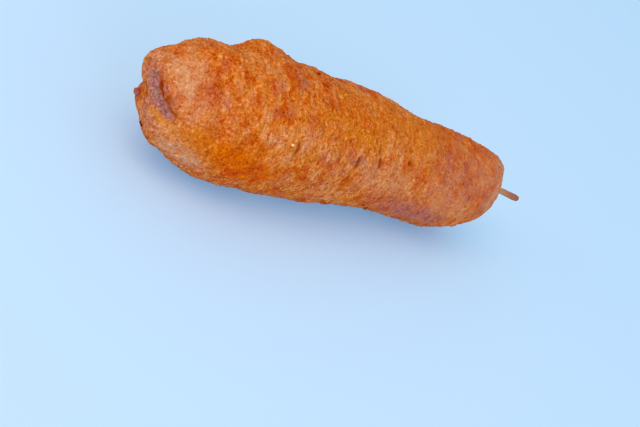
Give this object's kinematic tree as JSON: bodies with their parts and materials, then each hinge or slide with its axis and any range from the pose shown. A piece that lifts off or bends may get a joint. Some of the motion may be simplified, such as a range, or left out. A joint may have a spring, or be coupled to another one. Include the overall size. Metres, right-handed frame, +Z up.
{
  "type": "corn dog",
  "caption": "Sausage in a fried cornmeal batter roll on a thin wooden pick, lying on its side; a tapering, uneven roll with a puckered tip and a short end of the pick standing out.",
  "frame": {"origin": "on the surface it lies on, under the middle of its bounding box", "axes": "+X along the roll from its round tip to the pick, +Y away from its shown side, +Z up"},
  "size_m": [0.1462, 0.0392, 0.039],
  "materials": {
    "fried_batter": "golden brown fried cornmeal batter, grainy, slightly oily",
    "toasted_wood": "unvarnished pick, browned by frying"
  },
  "bodies": {
    "root": {"crust": "fried_batter", "stick": "toasted_wood"}
  },
  "joints": []
}
